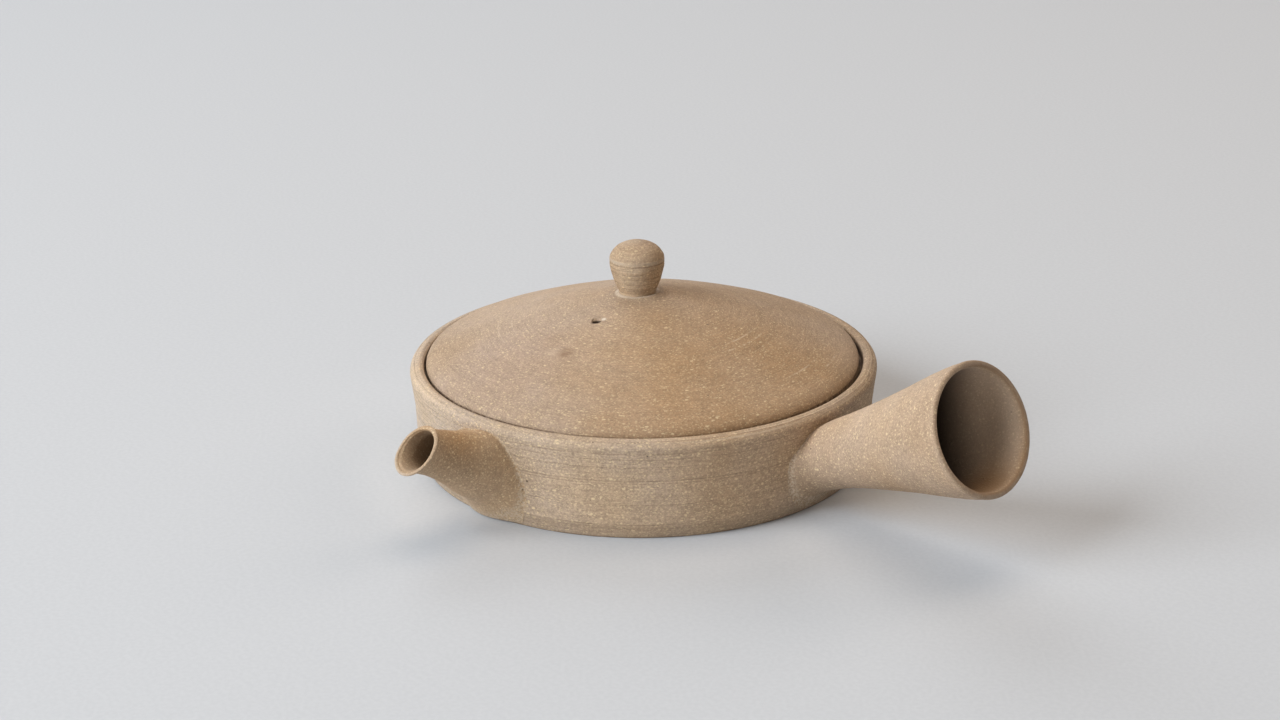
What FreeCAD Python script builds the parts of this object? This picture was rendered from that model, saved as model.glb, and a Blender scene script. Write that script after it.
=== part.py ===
import FreeCAD, Part
import os
import re
import Sketcher

# A flat side-handled teapot of unglazed clay: a low bowl with a ledge for its lid, a trumpet
# handle and a flared spout luted to the wall, a pierced dome behind the spout, and a lid with
# its knob. Lengths are millimetres and angles degrees. +X runs along the handle, +Z is up, and
# the origin is the centre of the flat base. Curved profiles are runs of short straight lines,
# close enough to the thrown curves and light to mesh.

SIZES = [
    ("base_radius", 57.2, "bowl: the flat that it rests on"),
    ("bevel_height", 4.0, "bowl: top of the trimmed bevel above the base"),
    ("foot_radius", 58.45, "bowl: wall at the top of the bevel"),
    ("flare_height", 20.6, "bowl: where the wall starts to flare to the lip"),
    ("flare_radius", 59.1, "bowl: wall at that height"),
    ("lip_radius", 60.0, "bowl: widest line of the lip"),
    ("lip_height", 24.2, "bowl: height of that line"),
    ("crest_width", 1.0, "bowl: width of the rounding on the lip's outer side"),
    ("crest_fall", 0.45, "bowl: how far the rim falls away outwards"),
    ("crest_radius", 58.0, "bowl: top line of the rim"),
    ("rim_height", 25.9, "bowl: height of that line"),
    ("gallery_fall", 0.95, "bowl: how far the rim falls away inwards, to the lid"),
    ("gallery_radius", 56.3, "bowl: recess that holds the lid"),
    ("ledge_height", 23.5, "bowl: top of the ledge under the lid"),
    ("ledge_radius", 51.2, "bowl: opening inside the ledge"),
    ("ledge_lip", 1.2, "bowl: thickness of the ledge at its inner edge"),
    ("ledge_root", 2.6, "bowl: how much thicker the ledge is at the wall"),
    ("inside_radius", 55.0, "bowl: inner side of the wall"),
    ("floor_thickness", 3.4, "bowl: floor"),
    ("floor_round", 5.5, "bowl: hollow between floor and wall"),

    ("lid_gap", 0.55, "lid: clearance round its edge"),
    ("lid_edge_height", 4.9, "lid: start of the dome above the ledge"),
    ("lid_edge_round", 2.7, "lid: rounding of its upper edge"),
    ("collar_radius", 6.9, "lid: foot of the collar round the knob"),
    ("collar_height", 19.15, "lid: foot of the collar above the ledge"),
    ("seat_radius", 5.6, "lid: flat under the knob"),
    ("seat_height", 19.7, "lid: that flat above the ledge"),
    ("lid_wall", 3.3, "lid: thickness of the dome"),
    ("flange_gap", 0.8, "lid: clearance of its flange inside the ledge"),
    ("flange_depth", 6.5, "lid: how far the flange reaches below the ledge"),
    ("flange_wall", 2.8, "lid: thickness of the flange"),
    ("flange_ease", 0.6, "lid: easing of the flange's outer tip"),
    ("brim_height", 3.9, "lid: its hollow underside at the flange, above the ledge"),
    ("brim_ease", 1.6, "lid: easing between underside and flange"),
    ("vent_radius", 1.35, "lid: steam hole"),
    ("vent_reach", 17.8, "lid: steam hole from the centre"),
    ("vent_turn", -84.8, "lid: steam hole's direction from the handle"),

    ("knob_foot", 4.7, "knob: radius at the lid"),
    ("knob_radius", 6.96, "knob: radius at its widest"),
    ("knob_waist_height", 7.35, "knob: height of the widest line"),
    ("knob_height", 13.5, "knob: height"),
    ("knob_offset", 1.1, "knob: how far off centre it was set"),
    ("knob_offset_turn", -134.0, "knob: direction of that offset from the handle"),

    ("handle_seat_turn", 1.6, "handle: where on the wall it sits, as an angle round the bowl"),
    ("handle_turn", -1.7, "handle: direction of its axis, seen from above"),
    ("handle_rise", 23.6, "handle: slope of its axis"),
    ("handle_seat", 13.5, "handle: height of its axis at the wall"),
    ("handle_length", 54.8, "handle: from the wall to the mouth, along the axis"),
    ("handle_mouth", 15.85, "handle: outer radius of the mouth"),
    ("handle_neck", 5.6, "handle: from the wall out to the neck"),
    ("handle_neck_radius", 8.45, "handle: outer radius at the neck"),
    ("handle_root", 11.5, "handle: outer radius at the bottom of its root"),
    ("handle_root_depth", 4.0, "handle: from there out to where its axis meets the wall"),
    ("handle_wall", 1.9, "handle: thickness"),
    ("handle_lip_ease", 0.55, "handle: easing of the mouth's edges"),

    ("spout_seat_turn", -86.4, "spout: where on the wall it sits, as an angle from the handle"),
    ("spout_turn", -86.7, "spout: direction of its axis, seen from above"),
    ("spout_rise", 23.2, "spout: slope of its axis"),
    ("spout_seat", 14.5, "spout: height of its axis at the wall"),
    ("spout_root", 13.4, "spout: outer radius at the bottom of its root"),
    ("spout_root_depth", 5.0, "spout: from there out to where its axis meets the wall"),
    ("spout_hip", 8.7, "spout: outer radius above the root"),
    ("spout_hip_reach", 4.6, "spout: from the wall out to the hip"),
    ("spout_neck", 5.5, "spout: outer radius behind the lip"),
    ("spout_neck_reach", 18.4, "spout: from the wall out to the neck"),
    ("spout_bend_reach", 20.8, "spout: from the wall out to where the mouth bends up"),
    ("spout_wall", 1.4, "spout: thickness of the tube"),
    ("spout_root_wall", 2.4, "spout: thickness at the root"),
    ("spout_foot_clear", 1.2, "spout: height above the base at which its root is trimmed"),
    ("mouth_lean", 22.9, "spout: how far its mouth bends from the axis"),
    ("mouth_side", 23.6, "spout: how far that bend leans over from straight up, away from the handle"),
    ("lip_start", 1.25, "spout: from the bend out to the start of the lip"),
    ("lip_reach", 2.8, "spout: from the bend out to the mouth"),
    ("mouth_radius", 6.7, "spout: outer radius of the mouth"),
    ("mouth_wall", 1.3, "spout: thickness of the lip"),
    ("mouth_ease", 0.4, "spout: easing of the mouth's edges"),

    ("port_height", 13.2, "bowl: height of the opening behind the spout"),
    ("port_radius", 5.6, "bowl: radius of that opening"),
    ("strainer_radius", 7.6, "strainer: outer radius of its foot"),
    ("strainer_rise", 4.6, "strainer: how far the dome stands into the bowl"),
    ("strainer_wall", 1.7, "strainer: thickness"),
    ("strainer_hole", 0.7, "strainer: radius of each six-sided hole"),

    ("slip_film", 0.05, "handle and spout: the slip that holds their roots on the wall"),
    ("overrun", 3.0, "how far a cut or a trimmed end runs past what it cuts"),
]

# Points along curved lines, as shares of the way across and of the way up from the line's start
# to its end.
ROUND_SHARES = ((0.29, 0.71),)
SWEEP_SHARES = ((0.30, 0.51),)
CREST_SHARES = ((0.31, 0.63),)
GALLERY_SHARES = ((0.6, 0.22),)
BROW_SHARES = ((0.12, 0.42), (0.47, 0.80))
DOME_SHARES = ((0.27, 0.335), (0.52, 0.595), (0.77, 0.82))
ROOF_SHARES = ((0.5, 0.57),)
KNOB_FLANK_SHARES = ((0.33, 0.2), (0.70, 0.52))
KNOB_CROWN_SHARES = ((0.03, 0.32), (0.16, 0.62), (0.45, 0.84))
# The handle's profile: its root from the wall out to the neck, then its bell out to the mouth.
ROOT_SHARES = ((0.2, 0.21), (0.5, 0.45), (0.82, 0.68))
BELL_SHARES = ((0.06, 0.14), (0.26, 0.36), (0.56, 0.60), (0.84, 0.81))
BELL_INSIDE_SHARES = ((0.26, 0.36), (0.84, 0.81))
# The spout's profile: its root out to the hip, its tube out to the neck, and the lip.
FOOT_SHARES = ((0.30, 0.25), (0.60, 0.52), (0.78, 0.73))
TUBE_SHARES = ((0.58, 0.39), (0.90, 0.75))
LIP_SHARES = ((0.35, 0.58),)
# Rings of holes in the strainer: how many, and the ring's angle as a share of the dome's.
STRAINER_COUNTS = (6, 12, 18)
STRAINER_ANGLE_SHARES = (0.26, 0.52, 0.78)
# Points of the dome's curve from its foot up, as shares of the dome's angle from its top.
STRAINER_LINE_SHARES = (0.91, 0.65, 0.39, 0.13)

doc = FreeCAD.newDocument("flat_kyusu")
sheet = doc.addObject("Spreadsheet::Sheet", "sizes")
for row, (alias, size, meaning) in enumerate(SIZES, start=1):
    sheet.set("A%d" % row, alias)
    sheet.set("B%d" % row, str(size))
    sheet.set("C%d" % row, meaning)
    sheet.setAlias("B%d" % row, alias)
doc.recompute()
ALIASES = {alias for alias, size, meaning in SIZES}


def tie(words):
    """The expression with each size's name tied to its cell in the sheet."""
    def cell(hit):
        return "sizes." + hit.group() if hit.group() in ALIASES else hit.group()
    return re.sub(r"[a-z_]+", cell, words)


def worth(words):
    """What an expression of the sheet's sizes comes to now."""
    return float(sheet.evalExpression(words))


def new_body(name, place=None):
    body = doc.addObject("PartDesign::Body", name)
    if place:
        body.setExpression("Placement", tie(place))
    return body


def new_sketch(body, name, role, offset=None):
    sketch = body.newObject("Sketcher::SketchObject", name)
    planes = [feature for feature in body.Origin.OriginFeatures if feature.Role == role]
    sketch.AttachmentSupport = [(planes[0], "")]
    sketch.MapMode = "FlatFace"
    if offset:
        sketch.setExpression("AttachmentOffset", tie(offset))
    return sketch


def between(start, end, shares):
    """Corners from start towards end, without the end, at these shares of the way across and up."""
    places = [(0.0, 0.0)] + list(shares)
    return [("%s + (%s - (%s)) * %s" % (start[0], end[0], start[0], across),
             "%s + (%s - (%s)) * %s" % (start[1], end[1], start[1], up)) for across, up in places]


def outline(sketch, corners):
    """Draws a closed outline of straight lines, with every corner tied to the sheet."""
    points = [FreeCAD.Vector(worth(across), worth(up), 0) for across, up in corners]
    lines = []
    for place, start in enumerate(points):
        end = points[(place + 1) % len(points)]
        lines.append(sketch.addGeometry(Part.LineSegment(start, end), False))
    for place, corner in enumerate(corners):
        sketch.addConstraint(Sketcher.Constraint("Coincident", lines[place - 1], 2, lines[place], 1))
        for kind, words, axis in (("DistanceX", corner[0], -2), ("DistanceY", corner[1], -1)):
            if words == "0":
                sketch.addConstraint(Sketcher.Constraint("PointOnObject", lines[place], 1, axis))
            else:
                number = sketch.addConstraint(Sketcher.Constraint(kind, lines[place], 1, worth(words)))
                sketch.setExpression("Constraints[%d]" % number, tie(words))


def disc(sketch, radius, across="0", up="0"):
    """Draws one circle tied to the sheet."""
    centre = FreeCAD.Vector(worth(across), worth(up), 0)
    circle = sketch.addGeometry(Part.Circle(centre, FreeCAD.Vector(0, 0, 1), worth(radius)), False)
    number = sketch.addConstraint(Sketcher.Constraint("Radius", circle, worth(radius)))
    sketch.setExpression("Constraints[%d]" % number, tie(radius))
    for kind, words, axis in (("DistanceX", across, -2), ("DistanceY", up, -1)):
        if words == "0":
            sketch.addConstraint(Sketcher.Constraint("PointOnObject", circle, 3, axis))
        else:
            number = sketch.addConstraint(Sketcher.Constraint(kind, circle, 3, worth(words)))
            sketch.setExpression("Constraints[%d]" % number, tie(words))


def hexagon(sketch, radius):
    """Draws a six-sided hole round the sketch's centre."""
    outline(sketch, [("%s * cos(%d)" % (radius, turn), "%s * sin(%d)" % (radius, turn))
                     for turn in range(30, 360, 60)])


def turned(body, name, corners):
    """A full turn of an outline round the body's own Z axis."""
    sketch = new_sketch(body, name + "_outline", "XZ_Plane")
    outline(sketch, corners)
    feature = body.newObject("PartDesign::Revolution", name)
    feature.Profile = sketch
    feature.ReferenceAxis = (sketch, ["V_Axis"])
    feature.Angle = 360
    return feature


def bored(body, name, role="XY_Plane", offset=None, backwards=False):
    """A hole through everything on one side of a sketch's plane, with the sketch left to be drawn."""
    sketch = new_sketch(body, name + "_edge", role, offset)
    pocket = body.newObject("PartDesign::Pocket", name)
    pocket.Profile = sketch
    pocket.Type = "ThroughAll"
    pocket.Reversed = backwards
    return pocket, sketch


def named(feature, label):
    feature.Label = label
    return feature


# The outer side of the bowl, from the bevel up to the rim.
FLARE = ("flare_radius", "flare_height")
LIP = ("lip_radius", "lip_height")
CREST = ("lip_radius - crest_width", "rim_height - crest_fall")
OUTER_SIDE = ([("foot_radius", "bevel_height")] + between(FLARE, LIP, SWEEP_SHARES)
              + between(LIP, CREST, CREST_SHARES) + [CREST])
# The radius of the bevel's outer side at a height.
FOOT_AT = "(base_radius + (foot_radius - base_radius) * %s / bevel_height)"
# The radius of the wall's outer side at a height, between the bevel and the lip.
WALL_AT = ("(foot_radius + (flare_radius - foot_radius) * (%s - bevel_height)"
           " / (flare_height - bevel_height))")


def make_bowl():
    """The thrown bowl: flat base, near-upright wall, flared lip and the ledge that carries the lid."""
    body = new_body("bowl_body")
    gallery = ("gallery_radius", "rim_height - gallery_fall")
    hollow = ("inside_radius", "floor_thickness + floor_round")
    floor = ("inside_radius - floor_round", "floor_thickness")
    turned(body, "bowl_wall", [("0", "0"), ("base_radius", "0")] + OUTER_SIDE + [
        ("crest_radius", "rim_height"),
    ] + between(("crest_radius", "rim_height"), gallery, GALLERY_SHARES)[1:] + [
        gallery,
        ("gallery_radius", "ledge_height"),
        ("ledge_radius", "ledge_height"),
        ("ledge_radius", "ledge_height - ledge_lip"),
        ("inside_radius", "ledge_height - ledge_lip - ledge_root"),
    ] + between(hollow, floor, ROUND_SHARES) + [floor, ("0", "floor_thickness")])
    port, sketch = bored(body, "spout_port", "XZ_Plane", backwards=True,
                         offset="placement(vector(0; 0; 0); rotation(vector(0; 1; 0); spout_seat_turn + 90))")
    disc(sketch, "port_radius", up="port_height")
    body.Tip = port
    return named(body, "bowl")


def make_core():
    """The bowl's outer form filled in and coated with slip, with a slab under it: what trims the
    roots of handle and spout."""
    body = new_body("core_body")
    side = [(FOOT_AT % "spout_foot_clear", "spout_foot_clear")] + OUTER_SIDE + [
        ("lip_radius - crest_width", "rim_height + overrun")]
    turned(body, "core", [("0", "-overrun"), ("lip_radius + handle_length", "-overrun"),
                          ("lip_radius + handle_length", "spout_foot_clear")]
           + [(across + " + slip_film", up) for across, up in side] + [("0", "rim_height + overrun")])
    return named(body, "core_form")


def make_handle(core):
    """The hollow handle, a thrown trumpet whose root spreads on the wall."""
    wall = WALL_AT % "handle_seat"
    body = new_body("handle_blank", "placement(vector(%s * cos(handle_seat_turn); %s * sin(handle_seat_turn);"
                    " handle_seat); rotation(vector(0; 0; 1); handle_turn)"
                    " * rotation(vector(0; 1; 0); 90 - handle_rise))" % (wall, wall))
    buried = "-handle_root_depth - handle_root * sin(handle_rise) - overrun"
    root = ("handle_root", "-handle_root_depth")
    neck = ("handle_neck_radius", "handle_neck")
    mouth = ("handle_mouth", "handle_length - handle_lip_ease")
    inner_root = ("handle_root - handle_wall", "-handle_root_depth")
    inner_neck = ("handle_neck_radius - handle_wall", "handle_neck")
    inner_mouth = ("handle_mouth - handle_wall", "handle_length - handle_lip_ease")
    inside = between(inner_root, inner_neck, ()) + between(inner_neck, inner_mouth, BELL_INSIDE_SHARES)
    turned(body, "handle_trumpet",
           [("handle_root - handle_wall", buried), ("handle_root", buried)]
           + between(root, neck, ROOT_SHARES) + between(neck, mouth, BELL_SHARES)
           + [mouth, ("handle_mouth - handle_lip_ease", "handle_length"),
              ("handle_mouth - handle_wall + handle_lip_ease", "handle_length"), inner_mouth]
           + inside[::-1])
    cut = doc.addObject("Part::Cut", "handle_on_wall")
    cut.Base = body
    cut.Tool = core
    return named(cut, "handle")


def make_spout(core):
    """The spout: a short tube, wide at the root, drawn in to a neck and bent up to a flared lip."""
    wall = WALL_AT % "spout_seat"
    tube = new_body("spout_tube_body", "placement(vector(%s * cos(spout_seat_turn); %s * sin(spout_seat_turn);"
                    " spout_seat); rotation(vector(0; 0; 1); spout_turn)"
                    " * rotation(vector(0; 1; 0); 90 - spout_rise))" % (wall, wall))
    buried = "-spout_root * sin(spout_rise) - overrun"
    root = ("spout_root", "-spout_root_depth")
    hip = ("spout_hip", "spout_hip_reach")
    neck = ("spout_neck", "spout_neck_reach")
    turned(tube, "spout_tube",
           [("spout_root - spout_root_wall", buried), ("spout_root", buried)]
           + between(root, hip, FOOT_SHARES) + between(hip, neck, TUBE_SHARES)
           + [neck, ("spout_neck", "spout_bend_reach + overrun"),
              ("spout_neck - spout_wall", "spout_bend_reach + overrun"),
              ("spout_neck - spout_wall", "spout_neck_reach"),
              ("spout_hip - spout_root_wall", "spout_hip_reach"),
              ("spout_root - spout_root_wall", "-spout_root_depth")])
    bend = "rotation(vector(sin(mouth_side); -cos(mouth_side); 0); mouth_lean%s)"
    mitre, sketch = bored(tube, "tube_mitre", backwards=True,
                          offset="placement(vector(0; 0; spout_bend_reach); %s)" % (bend % " / 2"))
    disc(sketch, "mouth_radius + overrun")
    tube.Tip = mitre

    lip = new_body("spout_lip_body")
    lip.setExpression("Placement", tie("%s.Placement * placement(vector(0; 0; spout_bend_reach); %s)"
                                       % (tube.Name, bend % "")))
    start = ("spout_neck", "lip_start")
    mouth = ("mouth_radius", "lip_reach - mouth_ease")
    turned(lip, "spout_lip",
           [("spout_neck - spout_wall", "-overrun"), ("spout_neck", "-overrun")]
           + between(start, mouth, LIP_SHARES)
           + [mouth, ("mouth_radius - mouth_ease", "lip_reach"),
              ("mouth_radius - mouth_wall + mouth_ease", "lip_reach"),
              ("mouth_radius - mouth_wall", "lip_reach - mouth_ease"),
              ("spout_neck - spout_wall", "lip_start")])
    mitre, sketch = bored(lip, "lip_mitre",
                          offset="placement(vector(0; 0; 0); %s)" % (bend.replace("; mouth", "; -mouth") % " / 2"))
    disc(sketch, "mouth_radius + overrun")
    lip.Tip = mitre
    whole = doc.addObject("Part::Fuse", "spout_whole")
    whole.Base = tube
    whole.Tool = lip
    cut = doc.addObject("Part::Cut", "spout_on_wall")
    cut.Base = whole
    cut.Tool = core
    return named(cut, "spout")


def make_strainer(bowl):
    """The pierced dome luted inside the wall behind the spout, which keeps the leaves back."""
    body = new_body("strainer_blank", "placement(vector(inside_radius * cos(spout_seat_turn);"
                    " inside_radius * sin(spout_seat_turn); port_height);"
                    " rotation(vector(0; 0; 1); spout_seat_turn) * rotation(vector(0; 1; 0); -90))")
    ball = "((strainer_radius ^ 2 + strainer_rise ^ 2) / (2 * strainer_rise))"
    spread = "asin(strainer_radius / %s)" % ball
    centre = "(strainer_rise - %s)" % ball
    outside = [("%s * sin(%s * %s)" % (ball, spread, share),
                "%s + %s * cos(%s * %s)" % (centre, ball, spread, share)) for share in STRAINER_LINE_SHARES]
    inside = [("(%s - strainer_wall) * sin(%s * %s)" % (ball, spread, share),
               "%s + (%s - strainer_wall) * cos(%s * %s)" % (centre, ball, spread, share))
              for share in STRAINER_LINE_SHARES]
    turned(body, "strainer_dome", [
        ("strainer_radius - strainer_wall", "-overrun"),
        ("strainer_radius", "-overrun"),
        ("strainer_radius", "0"),
    ] + outside + [("0", "strainer_rise"), ("0", "strainer_rise - strainer_wall")] + inside[::-1])
    pocket, sketch = bored(body, "middle_hole", backwards=True)
    hexagon(sketch, "strainer_hole")
    for count, share in zip(STRAINER_COUNTS, STRAINER_ANGLE_SHARES):
        pocket, sketch = bored(body, "hole_%d" % count, backwards=True,
                               offset="placement(vector(0; 0; %s); rotation(vector(0; 1; 0); %s * %s))"
                               % (centre, spread, share))
        hexagon(sketch, "strainer_hole")
        doc.recompute()
        ring = body.newObject("PartDesign::PolarPattern", "ring_%d" % count)
        ring.Originals = [pocket]
        ring.Axis = ([line for line in body.Origin.OriginFeatures if line.Role == "Z_Axis"][0], [""])
        ring.Angle = 360
        ring.Occurrences = count
        body.Tip = ring
        doc.recompute()
    cut = doc.addObject("Part::Cut", "strainer_on_wall")
    cut.Base = body
    cut.Tool = bowl
    return named(cut, "strainer")


def make_lid():
    """The lid: a low dome with a rounded edge, a flange that centres it and one steam hole."""
    body = new_body("lid_body", "placement(vector(0; 0; ledge_height - flange_depth); rotation(0; 0; 0))")
    flange = "(ledge_radius - flange_gap)"
    hollow = "(ledge_radius - flange_gap - flange_wall)"
    edge = ("(gallery_radius - lid_gap)", "flange_depth + lid_edge_height - lid_edge_round")
    brow = ("(gallery_radius - lid_gap - lid_edge_round)", "flange_depth + lid_edge_height")
    collar = ("collar_radius", "flange_depth + collar_height")
    roof = ("seat_radius", "flange_depth + seat_height - lid_wall")
    brim = (hollow + " - brim_ease", "flange_depth + brim_height")
    inside = [brim] + [(across, up) for across, up in between(roof, brim, ROOF_SHARES)][::-1]
    turned(body, "lid_dome",
           [(hollow, "0"), (flange + " - flange_ease", "0"), (flange, "flange_ease"),
            (flange, "flange_depth"), (edge[0], "flange_depth")]
           + between(edge, brow, BROW_SHARES) + between(brow, collar, DOME_SHARES)
           + [collar, ("seat_radius", "flange_depth + seat_height"), ("0", "flange_depth + seat_height"),
              ("0", roof[1])]
           + inside[::-1] + [(hollow, "flange_depth + brim_height - brim_ease")])
    vent, sketch = bored(body, "steam_hole", backwards=True)
    disc(sketch, "vent_radius", "vent_reach * cos(vent_turn)", "vent_reach * sin(vent_turn)")
    body.Tip = vent
    return named(body, "lid")


def make_knob():
    """The knob, thrown apart and luted on the flat at the top of the lid."""
    body = new_body("knob_body", "placement(vector(knob_offset * cos(knob_offset_turn);"
                    " knob_offset * sin(knob_offset_turn); ledge_height + seat_height); rotation(0; 0; 0))")
    foot = ("knob_foot", "0")
    waist = ("knob_radius", "knob_waist_height")
    top = ("0", "knob_height")
    turned(body, "knob_form", [("0", "0")] + between(foot, waist, KNOB_FLANK_SHARES)
           + between(waist, top, KNOB_CROWN_SHARES) + [top])
    return named(body, "lid_knob")


bowl = make_bowl()
core = make_core()
pieces = [bowl, make_spout(core), make_handle(core), make_strainer(bowl), make_lid(), make_knob()]
doc.recompute()

for item in doc.Objects:
    if "Invalid" in item.State or "Error" in item.State:
        raise RuntimeError("%s failed: %s" % (item.Name, item.State))
for piece in pieces:
    if piece.Shape.isNull() or not piece.Shape.isValid() or len(piece.Shape.Solids) != 1:
        raise RuntimeError("%s is not one sound solid" % piece.Label)

os.makedirs("parts", exist_ok=True)
for piece in pieces:
    piece.Shape.exportStep("parts/%s.step" % piece.Label)
    box = piece.Shape.BoundBox
    print("%s: %.1f x %.1f x %.1f mm, %.2f cm3"
          % (piece.Label, box.XLength, box.YLength, box.ZLength, piece.Shape.Volume / 1000))
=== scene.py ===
import math

import bpy
from mathutils import Matrix, Vector, noise


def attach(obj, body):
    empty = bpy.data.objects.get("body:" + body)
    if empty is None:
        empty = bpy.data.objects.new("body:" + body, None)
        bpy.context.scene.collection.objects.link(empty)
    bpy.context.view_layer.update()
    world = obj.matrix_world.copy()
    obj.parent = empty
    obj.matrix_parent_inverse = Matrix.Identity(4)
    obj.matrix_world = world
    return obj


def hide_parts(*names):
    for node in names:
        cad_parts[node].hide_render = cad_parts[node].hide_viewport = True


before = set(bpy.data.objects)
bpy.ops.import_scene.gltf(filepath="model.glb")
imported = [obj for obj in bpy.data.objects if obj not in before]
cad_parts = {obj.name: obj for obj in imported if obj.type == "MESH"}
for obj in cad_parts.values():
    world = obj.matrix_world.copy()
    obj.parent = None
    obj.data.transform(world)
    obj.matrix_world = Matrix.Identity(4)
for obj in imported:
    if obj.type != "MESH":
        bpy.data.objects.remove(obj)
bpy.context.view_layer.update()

# Lengths below are millimetres in the part's own frame, unless a name says otherwise.
MM = 0.001
VIEW_TURN = math.radians(45.6)  # the photograph's view, turned round Z from the part's frame

# Measures that more than one piece shares.
INNER_WALL = 55.0  # radius of the bowl's inner side
FLOOR_TOP = 3.4  # height of the bowl's inner floor
LEDGE = 23.5  # height of the ledge that carries the lid
LID_TOP = 43.2  # height of the flat that the knob stands on
PORT_TURN = math.radians(-86.4)  # where the port behind the spout is
PORT_HEIGHT = 13.2
PORT_RADIUS = 5.6

# The outer side of the bowl's wall, as (height, radius).
WALL_PROFILE = [(0.0, 57.2), (0.5, 57.5), (4.0, 58.7), (10.0, 59.0), (17.0, 59.3), (20.0, 59.62),
                (22.5, 59.95), (24.1, 60.08), (25.0, 59.8), (25.6, 59.1)]


def part_frame(x, y, z):
    """A place in the photograph's frame (X right, Y away, Z up), turned into the part's frame."""
    c, s = math.cos(VIEW_TURN), math.sin(VIEW_TURN)
    return Vector((x * c - y * s, x * s + y * c, z))


def around(radius, angle, height=0.0):
    """A place at this radius and angle round the bowl's axis."""
    return Vector((radius * math.cos(angle), radius * math.sin(angle), height))


# Curves and surfaces.

CORNER_STEP = 0.2  # radians of turn between the points of a rounded corner
CORNER_SHARE = 0.49  # a rounded corner takes at most this share of the sides next to it
ON_AXIS = 1e-6  # a smaller radius than this is a pole


def smooth_curve(knots):
    """A function through (x, y) knots: monotone cubic, so that it never overshoots."""
    xs = [k[0] for k in knots]
    ys = [k[1] for k in knots]
    slopes = [(ys[i + 1] - ys[i]) / (xs[i + 1] - xs[i]) for i in range(len(xs) - 1)]
    tangents = [slopes[0]]
    for a, b in zip(slopes, slopes[1:]):
        tangents.append(0.0 if a * b <= 0 else 2 * a * b / (a + b))
    tangents.append(slopes[-1])

    def value(x):
        x = min(max(x, xs[0]), xs[-1])
        i = 0
        while i < len(xs) - 2 and x > xs[i + 1]:
            i += 1
        h = xs[i + 1] - xs[i]
        t = (x - xs[i]) / h
        return ((2 * t ** 3 - 3 * t ** 2 + 1) * ys[i] + (t ** 3 - 2 * t ** 2 + t) * h * tangents[i]
                + (3 * t ** 2 - 2 * t ** 3) * ys[i + 1] + (t ** 3 - t ** 2) * h * tangents[i + 1])
    return value


def hooked(start, hook, end, t):
    """The point at t on the curve from start to end that is pulled towards the hook."""
    return start * (1 - t) ** 2 + hook * (2 * t * (1 - t)) + end * t ** 2


def rounded_path(corners, step):
    """Points along a path of (across, up, rounding) corners, with its corners rounded and its long
    stretches divided."""
    points = []
    for i, (x, y, radius) in enumerate(corners):
        here = Vector((x, y))
        if radius == 0 or i in (0, len(corners) - 1):
            points.append(here)
            continue
        back = Vector(corners[i - 1][:2]) - here
        ahead = Vector(corners[i + 1][:2]) - here
        turn = math.pi - back.angle(ahead)
        reach = min(radius * math.tan(turn / 2), back.length * CORNER_SHARE,
                    ahead.length * CORNER_SHARE)
        start = here + back.normalized() * reach
        end = here + ahead.normalized() * reach
        count = max(3, int(turn / CORNER_STEP) + 2)
        points += [hooked(start, here, end, k / count) for k in range(count + 1)]
    fine = [points[0]]
    for a, b in zip(points, points[1:]):
        count = max(1, math.ceil((b - a).length / step))
        for k in range(1, count + 1):
            fine.append(a.lerp(b, k / count))
    return [tuple(p) for p in fine]


def lengths(points):
    """How far along the path each of its points lies."""
    total, out = 0.0, [0.0]
    for a, b in zip(points, points[1:]):
        total += math.dist(a, b)
        out.append(total)
    return out


def skin(name, rows, runs, ring=False, place=None):
    """A smooth mesh over rows of points; a row of one point is a pole. With ring, the last row
    joins the first. The run of each row is kept on its points for the turning lines."""
    points, faces, run_values, starts = [], [], [], []
    for row, run in zip(rows, runs):
        starts.append(len(points))
        points.extend(row)
        run_values.extend(run if isinstance(run, list) else [run] * len(row))
    pairs = list(zip(range(len(rows)), range(1, len(rows))))
    if ring:
        pairs.append((len(rows) - 1, 0))
    for a, b in pairs:
        count = max(len(rows[a]), len(rows[b]))
        for k in range(count):
            m = (k + 1) % count
            if len(rows[a]) == 1:
                faces.append((starts[a], starts[b] + m, starts[b] + k))
            elif len(rows[b]) == 1:
                faces.append((starts[a] + k, starts[a] + m, starts[b]))
            else:
                faces.append((starts[a] + k, starts[a] + m, starts[b] + m, starts[b] + k))
    if place:
        points = [place @ Vector(p) for p in points]
    mesh = bpy.data.meshes.new(name)
    mesh.from_pydata([(p[0] * MM, p[1] * MM, p[2] * MM) for p in points], [], faces)
    mesh.attributes.new("run", "FLOAT", "POINT").data.foreach_set("value", run_values)
    mesh.polygons.foreach_set("use_smooth", [True] * len(mesh.polygons))
    mesh.update()
    piece = bpy.data.objects.new(name, mesh)
    bpy.context.collection.objects.link(piece)
    outward(piece)
    return piece


def outward(piece):
    """Turns the faces of a closed mesh outwards."""
    mesh = piece.data
    volume = 0.0
    for face in mesh.polygons:
        corners = [mesh.vertices[i].co for i in face.vertices]
        for k in range(1, len(corners) - 1):
            volume += corners[0].dot(corners[k].cross(corners[k + 1]))
    if volume < 0:
        mesh.flip_normals()


def lathe(name, path, count, wobble=None, place=None):
    """A full turn of a path of (radius, height) points; wobble moves a point a little."""
    rows, runs = [], lengths(path)
    for (radius, height), run in zip(path, runs):
        if radius < ON_AXIS:
            rows.append([(0.0, 0.0, height)])
            continue
        row = []
        for k in range(count):
            angle = 2 * math.pi * k / count
            r, z = radius, height
            if wobble:
                out, up = wobble(angle, radius, height, run)
                r, z = r + out, z + up
            row.append((r * math.cos(angle), r * math.sin(angle), z))
        rows.append(row)
    return skin(name, rows, runs, place=place)


def ripple(angle, along, tight, seed, round_scale=0.6):
    """Smooth noise that runs round a turned surface and changes quickly along it."""
    return noise.noise(Vector((math.cos(angle) * round_scale + seed,
                               math.sin(angle) * round_scale, along * tight)))


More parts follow.
